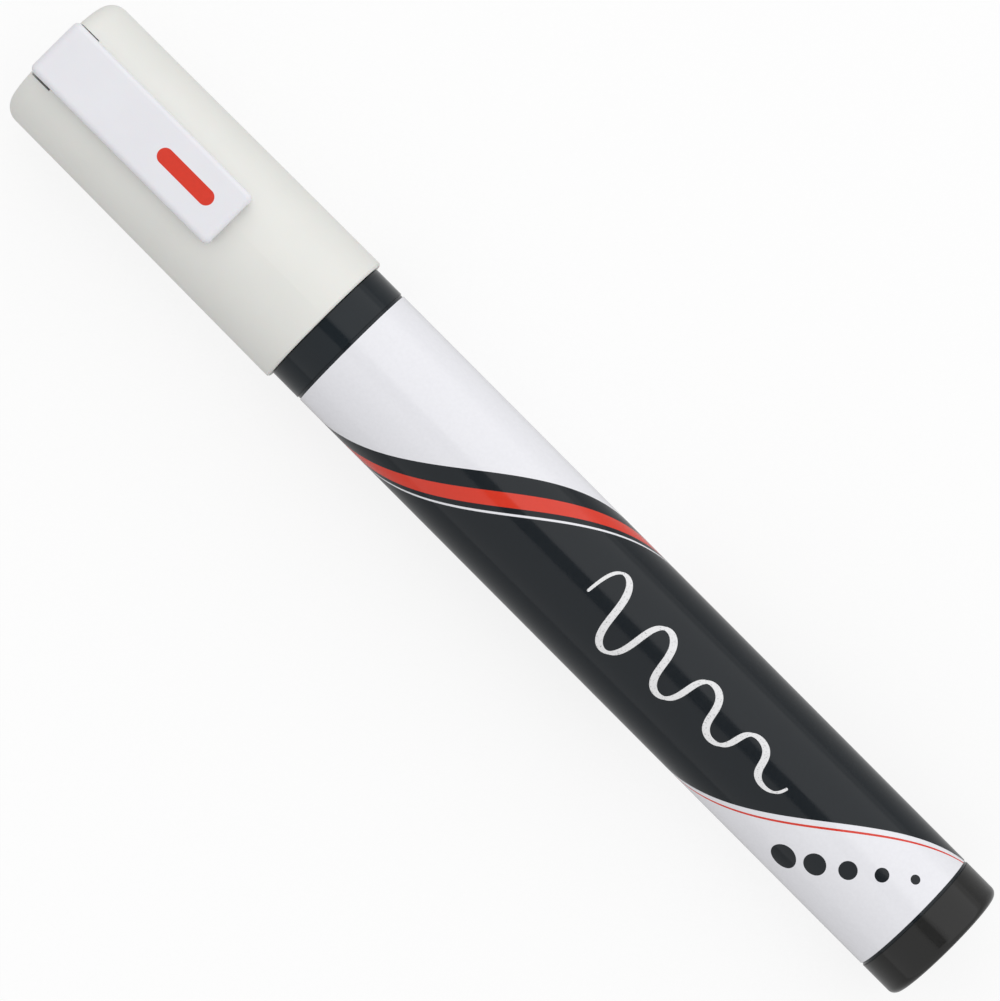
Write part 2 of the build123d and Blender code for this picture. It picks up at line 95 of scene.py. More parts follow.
class Graph:
    """The node tree of a material or sky, with short calls for the nodes that the finishes share.

    NOISE_SPAN holds nearly all of the noise's values, and NOISE_CORE most of them.
    """

    MIX_FACTOR = 0
    MIX_A = 6
    MIX_B = 7
    MIX_RESULT = 2
    EDGE_SAMPLES = 4
    NOISE_SPAN: Point = (0.25, 0.75)
    NOISE_CORE: Point = (0.3, 0.7)

    def __init__(self, holder: bpy.types.Material | bpy.types.World) -> None:
        """Empties the tree.

        Args:
            holder: the material or sky that the tree belongs to.
        """
        holder.use_nodes = True
        self.holder = holder
        self.tree = holder.node_tree
        self.tree.nodes.clear()

    @cached_property
    def place(self) -> Socket:
        """The shaded point, in the frame's axes."""
        return self.add("ShaderNodeTexCoord").outputs["Object"]

    def add(self, kind: str, values: Values | None = None, **settings: object) -> bpy.types.Node:
        """Adds a node.

        Args:
            kind: the node's type name.
            values: for each input, by name or number, a socket to link or a value to set.
            settings: the node's own properties.

        Returns:
            The new node.
        """
        node = self.tree.nodes.new(kind)
        for key, setting in settings.items():
            setattr(node, key, setting)
        for key, value in (values or {}).items():
            if isinstance(value, bpy.types.NodeSocket):
                self.tree.links.new(value, node.inputs[key])
            else:
                node.inputs[key].default_value = value
        return node

    def combine(self, operation: str, first: Socket | float, second: Socket | float) -> Socket:
        """Works out one value from two, by a math node's operation."""
        return self.add("ShaderNodeMath", {0: first, 1: second}, operation=operation).outputs["Value"]

    def seen(self) -> Socket:
        """Gives 1 on what the camera looks at, straight or through glass, and 0 elsewhere."""
        path = self.add("ShaderNodeLightPath").outputs
        return self.combine("MAXIMUM", path["Is Camera Ray"], path["Is Transmission Ray"])

    def glossy(self) -> Socket:
        """Gives 1 on what a glossy surface mirrors, and 0 elsewhere."""
        return self.add("ShaderNodeLightPath").outputs["Is Glossy Ray"]

    def noise(self, size: float, detail: float = 2.0, stretch: Triple = (1.0, 1.0, 1.0)) -> Socket:
        """Adds soft random grains.

        Args:
            size: how far apart the grains are.
            detail: how many finer layers lie on the first.
            stretch: how much longer a grain is along each axis.

        Returns:
            The grains' value, from about 0.2 to 0.8.
        """
        scale = tuple(1.0 / (size * longer) for longer in stretch)
        mapping = self.add("ShaderNodeMapping", {"Vector": self.place, "Scale": scale})
        values = {"Vector": mapping.outputs["Vector"], "Scale": 1.0, "Detail": detail}
        return self.add("ShaderNodeTexNoise", values).outputs["Fac"]

    def remap(self, value: Socket, source: Point, target: Point, smooth: bool = False) -> Socket:
        """Maps one range of values to another and clamps it.

        Args:
            value: the value to map.
            source: the range that it comes in.
            target: the range that it leaves in.
            smooth: whether the step eases in and out.

        Returns:
            The mapped value.
        """
        names = ("Value", "From Min", "From Max", "To Min", "To Max")
        values = dict(zip(names, (value, *source, *target)))
        easing = "SMOOTHSTEP" if smooth else "LINEAR"
        return self.add("ShaderNodeMapRange", values, interpolation_type=easing).outputs["Result"]

    def roughness(self, marks: Socket, middle: float, spread: float) -> Socket:
        """Varies a roughness by a spread to each side, with the marks in a surface."""
        return self.remap(marks, self.NOISE_CORE, (middle - spread, middle + spread))

    def mix(self, factor: Socket, first: Colour | Socket, second: Colour | Socket) -> Socket:
        """Mixes two colours.

        Args:
            factor: the share of the second colour.
            first: colour where the factor is 0.
            second: colour where the factor is 1.

        Returns:
            The mixed colour.
        """
        shades = [c if isinstance(c, bpy.types.NodeSocket) else (*c, 1.0) for c in (first, second)]
        values = {self.MIX_FACTOR: factor, self.MIX_A: shades[0], self.MIX_B: shades[1]}
        return self.add("ShaderNodeMix", values, data_type="RGBA").outputs[self.MIX_RESULT]

    def mottle(self, value: Socket, colour: Colour, spread: float) -> Socket:
        """Varies a colour's brightness by a share to each side, with the noise that drives it."""
        dark, light = (tuple(c * (1.0 + sign * spread) for c in colour) for sign in (-1.0, 1.0))
        return self.mix(self.remap(value, self.NOISE_SPAN, (0.0, 1.0)), dark, light)

    def bump(self, layers: Sequence[tuple[Socket, float]], edge: float = 0.0) -> Socket:
        """Stacks bumps on each other.

        Args:
            layers: each layer's height value and its depth in metres.
            edge: radius to which sharp edges are eased, or 0.

        Returns:
            The bumped normal.
        """
        below: Values = {}
        if edge:
            eased = self.add("ShaderNodeBevel", {"Radius": edge}, samples=self.EDGE_SAMPLES)
            below["Normal"] = eased.outputs["Normal"]
        for height, depth in layers:
            values = {"Height": height, "Distance": depth, "Strength": 1.0, **below}
            below["Normal"] = self.add("ShaderNodeBump", values).outputs["Normal"]
        return below["Normal"]

    def surface(self, values: Values) -> bpy.types.Material:
        """Closes the tree with a principled surface.

        Args:
            values: the surface's inputs.

        Returns:
            The finished material.
        """
        shader = self.add("ShaderNodeBsdfPrincipled", values)
        self.add("ShaderNodeOutputMaterial", {"Surface": shader.outputs["BSDF"]})
        return self.holder


@dataclass(frozen=True)
class MouldedPlastic:
    """Injection-moulded plastic: clouded colour, fine spark grain, slow waves and handling scuffs."""

    name: str
    colour: Colour
    roughness: float
    roughness_spread: float = 0.06
    mottle: float = 0.015
    specular: float = 0.5
    subsurface: float = 0.0
    subsurface_depth: float = 1.0 * MM
    grain_size: float = 0.16 * MM
    grain_depth: float = 0.004 * MM
    wave_size: float = 7.0 * MM
    wave_depth: float = 0.03 * MM
    cloud_detail: float = 5.0
    scuff_size: float = 0.5 * MM
    scuff_detail: float = 4.0
    scuff_stretch: Triple = (9.0, 1.0, 1.0)
    edge: float = 0.12 * MM

    def base_colour(self, graph: Graph) -> Socket:
        """Gives the plastic's colour, faintly clouded."""
        return graph.mottle(graph.noise(self.wave_size, self.cloud_detail), self.colour, self.mottle)

    def material(self) -> bpy.types.Material:
        """Makes the plastic's material.

        Returns:
            The material.
        """
        graph = Graph(bpy.data.materials.new(self.name))
        scuffs = graph.noise(self.scuff_size, self.scuff_detail, self.scuff_stretch)
        waves = graph.noise(self.wave_size)
        grain = graph.noise(self.grain_size)
        return graph.surface(
            {
                "Base Color": self.base_colour(graph),
                "Roughness": graph.roughness(scuffs, self.roughness, self.roughness_spread),
                "Specular IOR Level": self.specular,
                "Subsurface Weight": self.subsurface,
                "Subsurface Scale": self.subsurface_depth,
                "Normal": graph.bump(((waves, self.wave_depth), (grain, self.grain_depth)), self.edge),
            }
        )


@dataclass(frozen=True)
class BarredPlastic(MouldedPlastic):
    """Moulded plastic with one round-ended bar printed on its top."""

    ink: Colour = PRINT_RED
    ink_mottle: float = 0.04
    ink_grain: float = 0.4 * MM
    ink_detail: float = 4.0
    ink_edge: float = 0.05 * MM
    bar_ends: Point = (0.0, 0.0)
    bar_width: float = 1.9 * MM
    bar_level: float = 0.0

    def base_colour(self, graph: Graph) -> Socket:
        """Gives the plastic's colour with the ink over it inside the bar.

        Args:
            graph: the material's node tree.

        Returns:
            The colour.
        """
        place = graph.add("ShaderNodeSeparateXYZ", {"Vector": graph.place}).outputs
        half = self.bar_width / 2
        low, high = self.bar_ends
        spine = graph.add("ShaderNodeClamp", {"Value": place["X"], "Min": low + half, "Max": high - half})
        along = graph.combine("SUBTRACT", place["X"], spine.outputs["Result"])
        offset = graph.add("ShaderNodeCombineXYZ", {"X": along, "Y": place["Y"]}).outputs["Vector"]
        reach = graph.add("ShaderNodeVectorMath", {0: offset}, operation="LENGTH").outputs["Value"]
        inked = graph.remap(reach, (half - self.ink_edge, half), (1.0, 0.0), smooth=True)
        raised = graph.combine("GREATER_THAN", place["Z"], self.bar_level)
        ink = graph.mottle(graph.noise(self.ink_grain, self.ink_detail), self.ink, self.ink_mottle)
        return graph.mix(graph.combine("MULTIPLY", inked, raised), super().base_colour(graph), ink)


@dataclass(frozen=True)
class PrintedFilm:
    """Gloss label film in one ink, with faint print mottle, orange peel and rub marks."""

    name: str
    colour: Colour
    roughness: float = 0.14
    roughness_spread: float = 0.04
    mottle: float = 0.02
    mottle_size: float = 0.4 * MM
    mottle_detail: float = 4.0
    specular: float = 0.5
    peel_size: float = 1.6 * MM
    peel_depth: float = 0.004 * MM
    rub_size: float = 0.7 * MM
    rub_detail: float = 4.0
    rub_stretch: Triple = (7.0, 1.0, 1.0)

    def base_colour(self, graph: Graph) -> Socket:
        """Gives the ink's colour, a little uneven."""
        return graph.mottle(graph.noise(self.mottle_size, self.mottle_detail), self.colour, self.mottle)

    def material(self) -> bpy.types.Material:
        """Makes the film's material.

        Returns:
            The material.
        """
        graph = Graph(bpy.data.materials.new(self.name))
        rubs = graph.noise(self.rub_size, self.rub_detail, self.rub_stretch)
        return graph.surface(
            {
                "Base Color": self.base_colour(graph),
                "Roughness": graph.roughness(rubs, self.roughness, self.roughness_spread),
                "Specular IOR Level": self.specular,
                "Normal": graph.bump(((graph.noise(self.peel_size), self.peel_depth),)),
            }
        )


@dataclass(frozen=True)
class ChalkPrint(PrintedFilm):
    """White ink broken up like a chalk stroke, with the ground showing through its pores."""

    ground: Colour = (0.008, 0.009, 0.01)
    pore_size: float = 0.14 * MM
    pore_detail: float = 3.0
    pore_edge: Point = (0.3, 0.42)
    pore_cover: float = 0.35

    def base_colour(self, graph: Graph) -> Socket:
        """Gives chalk white with dark pores.

        Args:
            graph: the material's node tree.

        Returns:
            The colour.
        """
        grains = graph.noise(self.pore_size, self.pore_detail)
        cover = graph.remap(grains, self.pore_edge, (self.pore_cover, 1.0), smooth=True)
        return graph.mix(cover, self.ground, super().base_colour(graph))


@dataclass(frozen=True)
class BondedFibre:
    """Fibre rod: long fibres along the nib, open pores and a soft sheen."""

    name: str
    colour: Colour
    roughness: float = 0.875
    roughness_spread: float = 0.075
    mottle: float = 0.07
    sheen: float = 0.25
    sheen_roughness: float = 0.5
    detail: float = 3.0
    fibre_size: float = 0.07 * MM
    fibre_stretch: Triple = (14.0, 1.0, 1.0)
    fibre_depth: float = 0.03 * MM
    pore_size: float = 0.21 * MM
    pore_depth: float = 0.02 * MM

    def material(self) -> bpy.types.Material:
        """Makes the fibre's material.

        Returns:
            The material.
        """
        graph = Graph(bpy.data.materials.new(self.name))
        fibres = graph.noise(self.fibre_size, self.detail, self.fibre_stretch)
        pores = graph.noise(self.pore_size, self.detail)
        return graph.surface(
            {
                "Base Color": graph.mottle(fibres, self.colour, self.mottle),
                "Roughness": graph.roughness(pores, self.roughness, self.roughness_spread),
                "Sheen Weight": self.sheen,
                "Sheen Roughness": self.sheen_roughness,
                "Normal": graph.bump(((fibres, self.fibre_depth), (pores, self.pore_depth))),
            }
        )


@dataclass(frozen=True)
class SoftRubber:
    """Matt sealing rubber with bloom and a fine grain."""

    name: str
    colour: Colour
    roughness: float = 0.71
    roughness_spread: float = 0.09
    mottle: float = 0.25
    bloom_size: float = 1.2 * MM
    bloom_detail: float = 4.0
    grain_size: float = 0.12 * MM
    grain_depth: float = 0.01 * MM

    def material(self) -> bpy.types.Material:
        """Makes the rubber's material.

        Returns:
            The material.
        """
        graph = Graph(bpy.data.materials.new(self.name))
        bloom = graph.noise(self.bloom_size, self.bloom_detail)
        return graph.surface(
            {
                "Base Color": graph.mottle(bloom, self.colour, self.mottle),
                "Roughness": graph.roughness(bloom, self.roughness, self.roughness_spread),
                "Normal": graph.bump(((graph.noise(self.grain_size), self.grain_depth),)),
            }
        )


@dataclass(frozen=True)
class Steel:
    """Bare steel with working marks that run one way."""

    name: str
    colour: Colour
    roughness: float
    roughness_spread: float
    mark_size: float
    mark_stretch: Triple = (1.0, 1.0, 1.0)
    mark_detail: float = 4.0
    mark_depth: float = 0.002 * MM
    mottle: float = 0.06
    stain_size: float = 1.0 * MM
    stain_detail: float = 3.0

    def material(self) -> bpy.types.Material:
        """Makes the steel's material.

        Returns:
            The material.
        """
        graph = Graph(bpy.data.materials.new(self.name))
        marks = graph.noise(self.mark_size, self.mark_detail, self.mark_stretch)
        stains = graph.noise(self.stain_size, self.stain_detail)
        return graph.surface(
            {
                "Base Color": graph.mottle(stains, self.colour, self.mottle),
                "Metallic": 1.0,
                "Roughness": graph.roughness(marks, self.roughness, self.roughness_spread),
                "Normal": graph.bump(((marks, self.mark_depth),)),
            }
        )


@dataclass(frozen=True)
class StudioPaper:
    """Pale paper that the camera sees nearly white and gloss a little paler, with soft shadows kept."""

    name: str = "studio_paper"
    colour: Colour = (0.6, 0.6, 0.6)
    seen_colour: Colour = (0.96, 0.96, 0.96)
    white_share: float = 0.82
    gloss_share: float = 0.15
    mottle: float = 0.01
    tooth_size: float = 0.6 * MM
    tooth_detail: float = 3.0
    tooth_depth: float = 0.01 * MM

    def material(self) -> bpy.types.Material:
        """Makes the paper's material.

        Returns:
            The material.
        """
        graph = Graph(bpy.data.materials.new(self.name))
        seen = graph.seen()
        white = graph.combine(
            "MAXIMUM",
            graph.combine("MULTIPLY", seen, self.white_share),
            graph.combine("MULTIPLY", graph.glossy(), self.gloss_share),
        )
        tooth = graph.noise(self.tooth_size, self.tooth_detail)
        shades = (graph.mottle(tooth, colour, self.mottle) for colour in (self.colour, self.seen_colour))
        normal = graph.bump(((tooth, self.tooth_depth),))
        paper = graph.add("ShaderNodeBsdfDiffuse", {"Color": graph.mix(seen, *shades), "Normal": normal})
        glow = graph.add("ShaderNodeEmission", {"Color": WHITE, "Strength": 1.0})
        layers = {0: white, 1: paper.outputs["BSDF"], 2: glow.outputs["Emission"]}
        mixed = graph.add("ShaderNodeMixShader", layers)
        graph.add("ShaderNodeOutputMaterial", {"Surface": mixed.outputs["Shader"]})
        return graph.holder


CAP_IVORY = MouldedPlastic("cap_ivory_plastic", (0.80, 0.80, 0.765), roughness=0.42, subsurface=0.06)
NATURAL = MouldedPlastic("natural_waxy_plastic", (0.78, 0.78, 0.73), roughness=0.4, subsurface=0.35)
BLACK_GLOSS = MouldedPlastic(
    "black_gloss_plastic",
    (0.004, 0.0085, 0.0125),
    roughness=0.11,
    roughness_spread=0.03,
    mottle=0.1,
    specular=0.3,
    grain_depth=0.0005 * MM,
)
TAIL_BLACK = MouldedPlastic(
    "tail_satin_plastic",
    (0.009, 0.009, 0.0085),
    roughness=0.15,
    roughness_spread=0.04,
    mottle=0.1,
    specular=0.35,
    grain_depth=0.0008 * MM,
)
LABEL_INKS = {
    Print.FILM: PrintedFilm("label_white_film", (0.83, 0.83, 0.87)),
    Print.CHARCOAL: PrintedFilm("label_charcoal_ink", (0.004, 0.0075, 0.011), mottle=0.1, specular=0.32),
    Print.RED: PrintedFilm("label_red_ink", PRINT_RED),
    Print.CHALK: ChalkPrint("label_chalk_ink", (0.82, 0.82, 0.83), roughness=0.4),
    Print.BACK: PrintedFilm("label_film_back", (0.7, 0.7, 0.7), roughness=0.5),
}
NIB_FIBRE = BondedFibre("nib_bonded_fibre", (0.85, 0.84, 0.8))
SEAL_RUBBER = SoftRubber("seal_black_rubber", (0.02, 0.02, 0.02))
SPRING_WIRE = Steel(
    "spring_drawn_wire", (0.58, 0.58, 0.6), roughness=0.294, roughness_spread=0.098, mark_size=0.15 * MM
)
BALL_STEEL = Steel(
    "ball_ground_steel",
    (0.62, 0.62, 0.64),
    roughness=0.126,
    roughness_spread=0.042,
    mark_size=0.3 * MM,
    mark_stretch=(1.0, 4.0, 1.0),
)


def new_piece(name: str, mesh: bpy.types.Mesh, node: str) -> bpy.types.Object:
    """Adds a mesh as a piece of the barrel that stands for a CAD node.

    Args:
        name: the piece's name.
        mesh: its mesh, in place.
        node: the CAD node that it replaces.

    Returns:
        The new object.
    """
    piece = bpy.data.objects.new(name, mesh)
    bpy.context.scene.collection.objects.link(piece)
    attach(piece, BARREL_BODY)
    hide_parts(node)
    return piece


def dress(node: str, material: bpy.types.Material) -> bpy.types.Object:
    """Gives a CAD node a finish.

    Args:
        node: the node's name.
        material: the finish.

    Returns:
        The node's object.
    """
    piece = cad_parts[node]
    for place in piece.material_slots:
        place.material = material
    return piece


def arc(middle: Point | Vector, radius: float, start: float, end: float, steps: int) -> list[Point]:
    """Gives points along an arc.

    Args:
        middle: the arc's centre.
        radius: its radius.
        start: its first angle, in degrees from the first axis towards the second.
        end: its last angle.
        steps: how many chords it has.

    Returns:
        The points, both ends included.
    """
    turns = (math.radians(start + (end - start) * step / steps) for step in range(steps + 1))
    return [(middle[0] + radius * math.cos(turn), middle[1] + radius * math.sin(turn)) for turn in turns]


@dataclass
class Cap:
    """The pull-off cap: tapered shell and the cup that keeps the nib from drying."""

    shell: MouldedPlastic = CAP_IVORY
    cup: MouldedPlastic = NATURAL

    def build(self) -> list[bpy.types.Object]:
        """Dresses the shell and the inner cup."""
        return [dress("cap_shell", self.shell.material()), dress("inner_cap", self.cup.material())]


@dataclass
class Clip:
    """The pocket clip, with a plain bar printed near its free end."""

    colour: Colour = (0.82, 0.82, 0.86)
    roughness: float = 0.38
    subsurface: float = 0.06
    bar_length: float = 8.0 * MM
    bar_setback: float = 2.7 * MM

    def build(self) -> list[bpy.types.Object]:
        """Dresses the clip and prints its bar.

        Returns:
            The clip.
        """
        low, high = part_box("cap_clip")
        bar_end = high.x - self.bar_setback
        finish = BarredPlastic(
            "clip_white_plastic",
            self.colour,
            self.roughness,
            subsurface=self.subsurface,
            bar_ends=(bar_end - self.bar_length, bar_end),
            bar_level=(low.z + high.z) / 2,
        )
        return [dress("cap_clip", finish.material())]


@dataclass
class WrittenWave:
    """A damped wave drawn in one chalk stroke along the label, as (x, u) with u round the barrel."""

    start: float = 13.5 * MM
    length: float = 30.0 * MM
    waves: float = 4.0
    height: float = 4.4 * MM
    damping: float = 1.1
    crest_swell: float = 0.38 * MM
    middle: float = -0.6 * MM
    stroke: float = 0.85 * MM
    thin_share: float = 0.45
    pen_angle: float = 35.0
    taper_share: float = 0.1
    steps: int = 192
    end_steps: int = 8

    def centre(self, share: float) -> Vector:
        """Gives the stroke's middle, with its crests drawn wider.

        Args:
            share: how far along the stroke it is.

        Returns:
            The point.
        """
        phase = 2 * math.pi * self.waves * share
        swing = self.height * math.exp(-self.damping * share) * math.sin(phase)
        swell = self.crest_swell * math.sin(2 * phase)
        return Vector((self.start + self.length * share - swell, self.middle + swing))

    def half_width(self, turn: float, share: float) -> float:
        """Gives half the stroke's width, as a slanted tip draws it.

        Args:
            turn: the way that the stroke runs, in degrees.
            share: how far along the stroke it is.

        Returns:
            Half the width, drawn in towards both ends.
        """
        slant = abs(math.sin(math.radians(turn - self.pen_angle)))
        near_end = min(share, 1.0 - share) / self.taper_share
        press = self.thin_share + (1.0 - self.thin_share) * min(near_end, 1.0)
        return self.stroke / 2 * (self.thin_share + (1.0 - self.thin_share) * slant) * press

    def outline(self) -> list[Point]:
        """Gives the stroke's outline, along its right side and back along its left, with round ends.

        Returns:
            The outline's points.
        """
        line = [self.centre(step / self.steps) for step in range(self.steps + 1)]
        right: list[Point] = []
        left: list[Point] = []
        ends: dict[int, list[Point]] = {}
        for index, point in enumerate(line):
            way = line[min(index + 1, self.steps)] - line[max(index - 1, 0)]
            turn = math.degrees(math.atan2(way.y, way.x))
            half = self.half_width(turn, index / self.steps)
            across = arc(point, half, turn - QUARTER_TURN, turn + QUARTER_TURN, 1)
            right.append(across[0])
            left.append(across[1])
            if index in (0, self.steps):
                first = turn + QUARTER_TURN if index == 0 else turn - QUARTER_TURN
                ends[index] = arc(point, half, first, first + 2 * QUARTER_TURN, self.end_steps)[1:-1]
        return right + ends[self.steps] + left[::-1] + ends[0]


@dataclass
class DotRow:
    """A slanting row of dots that shrink towards the tail, as (x, u)."""

    first: Point = (48.5 * MM, -6.6 * MM)
    step: Point = (2.9 * MM, 2.25 * MM)
    radii: tuple[float, ...] = (1.55 * MM, 1.3 * MM, 1.05 * MM, 0.8 * MM, 0.55 * MM)
    sides: int = 32

    def outlines(self) -> list[list[Point]]:
        """Gives the dots' outlines.

        Returns:
            Each dot's points.
        """
        dots: list[list[Point]] = []
        for index, radius in enumerate(self.radii):
            place = (self.first[0] + index * self.step[0], self.first[1] + index * self.step[1])
            dots.append(arc(place, radius, 0.0, FULL_TURN, self.sides)[:-1])
        return dots


@dataclass
class Label:
    """Printed film wrapped round the barrel with a butt seam underneath, one closed thin shell."""

    thickness: float = 0.1 * MM
    seam: float = 0.4 * MM
    strips: int = 120
    rings: int = 20
    field_front: float = -4.0 * MM
    field_slope: float = 1.29
    field_length: float = 53.0 * MM
    stripe_setback: float = 3.2 * MM
    stripe_width: float = 2.6 * MM
    hairline_gap: float = 1.0 * MM
    hairline_width: float = 0.4 * MM
    overprint: float = 1.0 * MM
    wave: WrittenWave = field(default_factory=WrittenWave)
    dots: DotRow = field(default_factory=DotRow)

    HULL_TRIANGLES = 0
    WELD_MM = 1e-5

    def __post_init__(self) -> None:
        """Reads the label's place from its CAD node."""
        low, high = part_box("label_sleeve")
        self.front = low.x
        self.back = high.x
        self.radius = (high.y - low.y) / 2
        self.axis = high.z - self.radius
        self.half = math.pi * self.radius - self.seam / 2

    def slanted(self, setback: float, width: float) -> list[Point]:
        """Gives a slanted strip that runs past both sides of the seam.

        Args:
            setback: how far the strip lies behind the dark field's front edge.
            width: its width along the marker.

        Returns:
            Its four corners.
        """
        reach = self.half + self.overprint
        front = self.field_front + setback
        return [
            (front + behind + self.field_slope * u, u)
            for u, behind in ((-reach, 0.0), (-reach, width), (reach, width), (reach, 0.0))
        ]

    def areas(self) -> list[tuple[Print, list[Point]]]:
        """Lists the printed outlines on the flat label.

        Returns:
            Each outline with its ink, in the order of printing, so that later ones lie on top.
        """
        corners = ((self.front, -1), (self.back, -1), (self.back, 1), (self.front, 1))
        stripe_end = self.stripe_setback + self.stripe_width
        return [
            (Print.FILM, [(x, side * self.half) for x, side in corners]),
            (Print.CHARCOAL, self.slanted(0.0, self.field_length)),
            (Print.RED, self.slanted(self.stripe_setback, self.stripe_width)),
            (Print.FILM, self.slanted(stripe_end + self.hairline_gap, self.hairline_width)),
            (Print.RED, self.slanted(self.field_length + self.hairline_gap, self.hairline_width)),
            (Print.CHALK, self.wave.outline()),
            *((Print.CHARCOAL, dot) for dot in self.dots.outlines()),
        ]

    def grid(self) -> list[tuple[Point, Point]]:
        """Gives the lines that divide the flat label so that it can be wrapped.

        Returns:
            Both ends of each line.
        """
        length = self.back - self.front
        heights = [self.half * (2 * strip / self.strips - 1) for strip in range(1, self.strips)]
        stations = [self.front + length * ring / self.rings for ring in range(1, self.rings)]
        lines = [((self.front, u), (self.back, u)) for u in heights]
        return lines + [((x, -self.half), (x, self.half)) for x in stations]

    def pattern(self) -> tuple[list[Vector], list[tuple[int, ...]], list[Print]]:
        """Cuts the flat label along its printed outlines.

        Returns:
            The points in millimetres, the triangles between them, and what is printed on each triangle.
        """
        points: list[Vector] = []
        edges: list[tuple[int, int]] = []
        outlines: list[list[int]] = []
        areas = self.areas()
        for _, outline in areas:
            outlines.append(list(range(len(points), len(points) + len(outline))))
            points += [Vector(point) / MM for point in outline]
        for line in self.grid():
            edges.append((len(points), len(points) + 1))
            points += [Vector(point) / MM for point in line]
        cut = delaunay_2d_cdt(points, edges, outlines, self.HULL_TRIANGLES, self.WELD_MM)
        places, _, triangles, _, _, owners = cut
        kept = [(corners, areas[max(held)][0]) for corners, held in zip(triangles, owners) if 0 in held]
        used = sorted({corner for corners, _ in kept for corner in corners})
        order = {corner: index for index, corner in enumerate(used)}
        faces = [tuple(order[corner] for corner in corners) for corners, _ in kept]
        return [places[corner] for corner in used], faces, [ink for _, ink in kept]

    def wrapped(self, flat: Vector, radius: float) -> Vector:
        """Gives the place of a flat label point, in millimetres, at a radius round the marker's axis."""
        turn = flat.y * MM / self.radius
        return Vector((flat.x * MM, radius * math.sin(turn), self.axis + radius * math.cos(turn)))

    def paint(self, mesh: bpy.types.Mesh, inks: Sequence[Print]) -> None:
        """Gives each face its ink and the normals of a round barrel.

        Args:
            mesh: the label's shell, with its outside first, then its inside, then its edges.
            inks: what is printed on each outside face.
        """
        for ink in Print:
            mesh.materials.append(LABEL_INKS[ink].material())
        outward = [Vector((0.0, v.co.y, v.co.z - self.axis)).normalized() for v in mesh.vertices]
        normals: list[Vector] = []
        for index, face in enumerate(mesh.polygons):
            face.use_smooth = True
            if index < len(inks):
                face.material_index = inks[index].value
                normals += [outward[corner] for corner in face.vertices]
            elif index < 2 * len(inks):
                face.material_index = Print.BACK.value
                normals += [-outward[corner] for corner in face.vertices]
            else:
                face.material_index = Print.FILM.value
                normals += [face.normal.copy() for _ in face.vertices]
        mesh.normals_split_custom_set(normals)

    def build(self) -> list[bpy.types.Object]:
        """Builds the film as a closed shell and prints it.

        Returns:
            The label.
        """
        flat, triangles, inks = self.pattern()
        count = len(flat)
        radii = (self.radius, self.radius - self.thickness)
        places = [self.wrapped(point, radius) for radius in radii for point in flat]
        sides = {(a, b) for corners in triangles for a, b in zip(corners, (*corners[1:], corners[0]))}
        rim = sorted((a, b) for a, b in sides if (b, a) not in sides)
        faces: list[tuple[int, ...]] = list(triangles)
        faces += [tuple(corner + count for corner in reversed(corners)) for corners in triangles]
        faces += [(b, a, a + count, b + count) for a, b in rim]
        mesh = bpy.data.meshes.new("printed_label")
        mesh.from_pydata(places, [], faces)
        self.paint(mesh, inks)
        return [new_piece("printed_label", mesh, "label_sleeve")]


@dataclass
class Tank:
    """The ink tank: barrel, front section, tail plug and the loose mixing ball."""

    moulding: MouldedPlastic = BLACK_GLOSS
    plug: MouldedPlastic = TAIL_BLACK
    ball: Steel = BALL_STEEL

    def build(self) -> list[bpy.types.Object]:
        """Dresses the tank's pieces.

        Returns:
            The pieces.
        """
        gloss = self.moulding.material()
        return [
            dress("barrel_tube", gloss),
            dress("front_section", gloss),
            dress("tail_plug", self.plug.material()),
            dress("mixing_ball", self.ball.material()),
        ]


